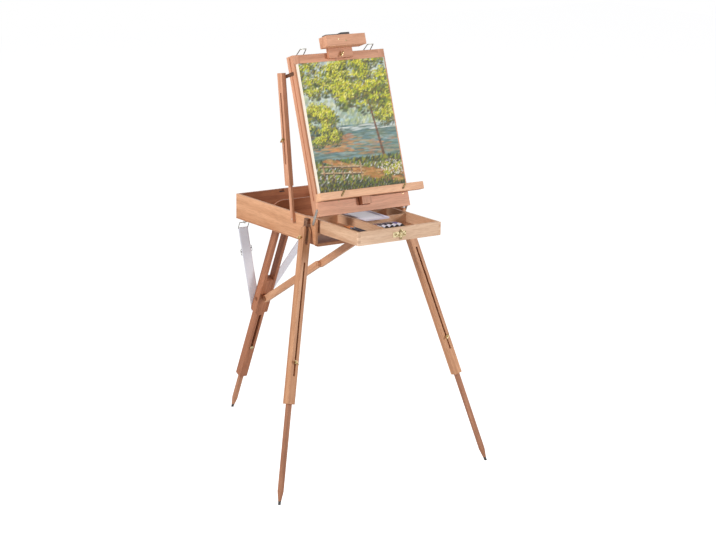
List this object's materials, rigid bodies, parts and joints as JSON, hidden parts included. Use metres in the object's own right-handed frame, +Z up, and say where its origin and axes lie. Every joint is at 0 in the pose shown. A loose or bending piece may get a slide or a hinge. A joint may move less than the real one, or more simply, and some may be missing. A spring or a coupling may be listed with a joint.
{
  "type": "box easel",
  "caption": "Wooden sketch-box easel on telescoping legs, with a pull-out drawer, a tilting lid that holds and clamps a canvas, folding side arms and a shoulder strap.",
  "frame": {"origin": "middle of the bounding box on the ground", "axes": "+Z up, -Y to the front where the drawer pulls out, +X to the right seen from the front"},
  "size_m": [0.9324, 1.1697, 1.6164],
  "materials": {
    "beech": "oiled satin",
    "pale_beech": "bare satin",
    "plywood": "bare satin",
    "tube_metal": "satin",
    "brush_lacquer": "lacquered",
    "brass": "satin",
    "steel": "satin",
    "dark_rubber": "matte",
    "canvas_cloth": "matte",
    "webbing": "matte"
  },
  "bodies": {
    "case": {"case_side_walls": "beech", "case_back_wall": "beech", "case_floor": "plywood", "case_divider": "beech", "drawer_runners": "beech", "case_fittings": "steel", "leg_brackets": "steel", "rear_hinge_bracket": "steel", "brace_bracket": "steel"},
    "drawer": {"drawer_front": "pale_beech", "drawer_sides": "pale_beech", "drawer_back": "pale_beech", "drawer_bottom": "plywood", "drawer_dividers": "pale_beech", "mixing_tray": "plywood", "paint_tubes": "tube_metal", "brushes": "brush_lacquer", "latch_plate": "brass"},
    "drawer_latch": {"drawer_latch": "brass"},
    "lid": {"lid_stiles": "beech", "lid_top_rail": "beech", "lid_lower_board": "beech", "lid_panel": "plywood", "mast_guides": "beech", "lid_fittings": "steel"},
    "mast": {"mast": "beech", "canvas_rest": "beech", "canvas": "canvas_cloth"},
    "clamp": {"clamp_neck": "beech", "clamp_head": "beech", "clamp_pad": "dark_rubber"},
    "clamp_screw": {"clamp_screw": "brass"},
    "rear_leg": {"rear_leg_cheeks": "beech", "brace_ears": "steel"},
    "rear_mid": {"rear_leg_mid": "beech"},
    "rear_lower": {"rear_leg_lower": "beech"},
    "rear_leg_screw": {"rear_leg_screw": "brass"},
    "rear_clamp_screw": {"rear_clamp_screw": "brass"},
    "brace_upper": {"brace_upper": "beech"},
    "brace_lower": {"brace_lower": "beech"},
    "strap": {"strap_webbing": "webbing", "strap_rings": "steel"},
    "bail_left": {"bail_left": "steel"},
    "hook_left": {"canvas_hook_left": "brass"},
    "arm_lower_left": {"arm_lower_left": "beech"},
    "arm_upper_left": {"arm_upper_left": "beech"},
    "arm_screw_left": {"arm_screw_left": "brass"},
    "front_leg_upper_left": {"front_leg_upper_left": "beech"},
    "front_leg_lower_left": {"front_leg_lower_left": "beech"},
    "front_leg_screw_left": {"front_leg_screw_left": "brass"},
    "front_pivot_screw_left": {"front_pivot_screw_left": "brass"},
    "bail_right": {"bail_right": "steel"},
    "hook_right": {"canvas_hook_right": "brass"},
    "arm_lower_right": {"arm_lower_right": "beech"},
    "arm_upper_right": {"arm_upper_right": "beech"},
    "arm_screw_right": {"arm_screw_right": "brass"},
    "front_leg_upper_right": {"front_leg_upper_right": "beech"},
    "front_leg_lower_right": {"front_leg_lower_right": "beech"},
    "front_leg_screw_right": {"front_leg_screw_right": "brass"},
    "front_pivot_screw_right": {"front_pivot_screw_right": "brass"}
  },
  "joints": [
    {"name": "drawer_slide", "type": "slide", "parent": "case", "child": "drawer", "axis": [0, -1, 0], "range_m": [-0.244, 0.04]},
    {"name": "latch_turn", "type": "hinge", "parent": "drawer", "child": "drawer_latch", "pos_m": [0.003, -0.57965, 0.94125], "axis": [0, -1, 0], "range_deg": [-90, 90]},
    {"name": "lid_tilt", "type": "hinge", "parent": "case", "child": "lid", "pos_m": [0, -0.34865, 1.0044], "axis": [1, 0, 0], "range_deg": [-71.4, 5]},
    {"name": "bail_swing_left", "type": "hinge", "parent": "lid", "child": "bail_left", "pos_m": [-0.146, -0.14206, 1.53112], "axis": [1, 0, 0], "range_deg": [-149, 0]},
    {"name": "hook_turn_left", "type": "hinge", "parent": "mast", "child": "hook_left", "pos_m": [-0.113, -0.37633, 1.05697], "axis": [0, -0.9478, 0.319], "range_deg": [-90, 90]},
    {"name": "arm_swing_left", "type": "hinge", "parent": "case", "child": "arm_lower_left", "pos_m": [-0.2013, -0.19615, 0.948], "axis": [1, 0, 0], "range_deg": [-84.14, 6.08]},
    {"name": "arm_reach_left", "type": "slide", "parent": "arm_lower_left", "child": "arm_upper_left", "axis": [0, 0.1387, 0.9903], "range_m": [-0.16641, 0.01212]},
    {"name": "arm_screw_turn_left", "type": "hinge", "parent": "arm_lower_left", "child": "arm_screw_left", "pos_m": [-0.2193, -0.1562, 1.23321], "axis": [-1, 0, 0], "continuous": true},
    {"name": "front_leg_fold_left", "type": "hinge", "parent": "case", "child": "front_leg_upper_left", "pos_m": [-0.225, -0.30565, 0.9], "axis": [0.9673, 0, -0.2536], "range_deg": [0, 102.75]},
    {"name": "front_leg_slide_left", "type": "slide", "parent": "front_leg_upper_left", "child": "front_leg_lower_left", "axis": [0.2474, 0.2208, 0.9434], "range_m": [-0.045, 0.355]},
    {"name": "front_leg_screw_turn_left", "type": "hinge", "parent": "front_leg_lower_left", "child": "front_leg_screw_left", "pos_m": [-0.33496, -0.41967, 0.48065], "axis": [0.056, -0.9753, 0.2135], "continuous": true},
    {"name": "front_pivot_screw_turn_left", "type": "hinge", "parent": "case", "child": "front_pivot_screw_left", "pos_m": [-0.225, -0.30565, 0.9], "axis": [-0.9673, 0, 0.2536], "continuous": true},
    {"name": "bail_swing_right", "type": "hinge", "parent": "lid", "child": "bail_right", "pos_m": [0.146, -0.14206, 1.53112], "axis": [1, 0, 0], "range_deg": [-149, 0]},
    {"name": "hook_turn_right", "type": "hinge", "parent": "mast", "child": "hook_right", "pos_m": [0.155, -0.37633, 1.05697], "axis": [0, -0.9478, 0.319], "range_deg": [-90, 90]},
    {"name": "arm_swing_right", "type": "hinge", "parent": "case", "child": "arm_lower_right", "pos_m": [0.2013, -0.19615, 0.948], "axis": [1, 0, 0], "range_deg": [-84.14, 6.08]},
    {"name": "arm_reach_right", "type": "slide", "parent": "arm_lower_right", "child": "arm_upper_right", "axis": [0, 0.1387, 0.9903], "range_m": [-0.16641, 0.01212]},
    {"name": "arm_screw_turn_right", "type": "hinge", "parent": "arm_lower_right", "child": "arm_screw_right", "pos_m": [0.2193, -0.1562, 1.23321], "axis": [1, 0, 0], "continuous": true},
    {"name": "front_leg_fold_right", "type": "hinge", "parent": "case", "child": "front_leg_upper_right", "pos_m": [0.225, -0.30565, 0.9], "axis": [0.9673, 0, 0.2536], "range_deg": [0, 102.75]},
    {"name": "front_leg_slide_right", "type": "slide", "parent": "front_leg_upper_right", "child": "front_leg_lower_right", "axis": [-0.2474, 0.2208, 0.9434], "range_m": [-0.045, 0.355]},
    {"name": "front_leg_screw_turn_right", "type": "hinge", "parent": "front_leg_lower_right", "child": "front_leg_screw_right", "pos_m": [0.33496, -0.41967, 0.48065], "axis": [-0.056, -0.9753, 0.2135], "continuous": true},
    {"name": "front_pivot_screw_turn_right", "type": "hinge", "parent": "case", "child": "front_pivot_screw_right", "pos_m": [0.225, -0.30565, 0.9], "axis": [0.9673, 0, 0.2536], "continuous": true},
    {"name": "mast_slide", "type": "slide", "parent": "lid", "child": "mast", "axis": [0, 0.319, 0.9478], "range_m": [0, 0.03]},
    {"name": "clamp_slide", "type": "slide", "parent": "mast", "child": "clamp", "axis": [0, 0.319, 0.9478], "range_m": [-0.01, 0.05]},
    {"name": "clamp_screw_turn", "type": "hinge", "parent": "clamp", "child": "clamp_screw", "pos_m": [0, -0.19344, 1.53459], "axis": [0, -0.9478, 0.319], "continuous": true},
    {"name": "rear_leg_fold", "type": "hinge", "parent": "case", "child": "rear_leg", "pos_m": [0, 0.19921, 0.828], "axis": [-1, 0, 0], "range_deg": [0, 110]},
    {"name": "rear_mid_slide", "type": "slide", "parent": "rear_leg", "child": "rear_mid", "axis": [0, -0.4172, 0.9088], "range_m": [-0.06, 0.225]},
    {"name": "rear_lower_slide", "type": "slide", "parent": "rear_mid", "child": "rear_lower", "axis": [0, -0.4172, 0.9088], "range_m": [0, 0.16]},
    {"name": "rear_leg_screw_turn", "type": "hinge", "parent": "rear_lower", "child": "rear_leg_screw", "pos_m": [0, 0.4291, 0.28653], "axis": [0, -0.9088, -0.4172], "continuous": true},
    {"name": "rear_clamp_screw_turn", "type": "hinge", "parent": "rear_leg", "child": "rear_clamp_screw", "pos_m": [0.0284, 0.34566, 0.50901], "axis": [1, 0, 0], "continuous": true},
    {"name": "brace_upper_fold", "type": "hinge", "parent": "case", "child": "brace_upper", "pos_m": [0, -0.29065, 0.8605], "axis": [-1, 0, 0], "range_deg": [0, 150.05]},
    {"name": "brace_lower_fold", "type": "hinge", "parent": "rear_leg", "child": "brace_lower", "pos_m": [0, 0.30736, 0.51454], "axis": [-1, 0, 0], "range_deg": [-144.81, 0]},
    {"name": "strap_swing", "type": "hinge", "parent": "case", "child": "strap", "pos_m": [0, 0.20767, 0.858], "axis": [-1, 0, 0], "range_deg": [0, 24.76]}
  ],
  "couplings": [
    {"joint": "arm_swing_left", "follows": "lid_tilt", "ratio": 1.1757},
    {"joint": "arm_reach_left", "follows": "lid_tilt", "m_per_rad": 0.13314},
    {"joint": "arm_swing_right", "follows": "lid_tilt", "ratio": 1.1757},
    {"joint": "arm_reach_right", "follows": "lid_tilt", "m_per_rad": 0.13314},
    {"joint": "brace_upper_fold", "follows": "rear_leg_fold", "ratio": 1.3078},
    {"joint": "brace_lower_fold", "follows": "rear_leg_fold", "ratio": -1.2621},
    {"joint": "strap_swing", "follows": "rear_leg_fold", "ratio": 0.21507}
  ]
}
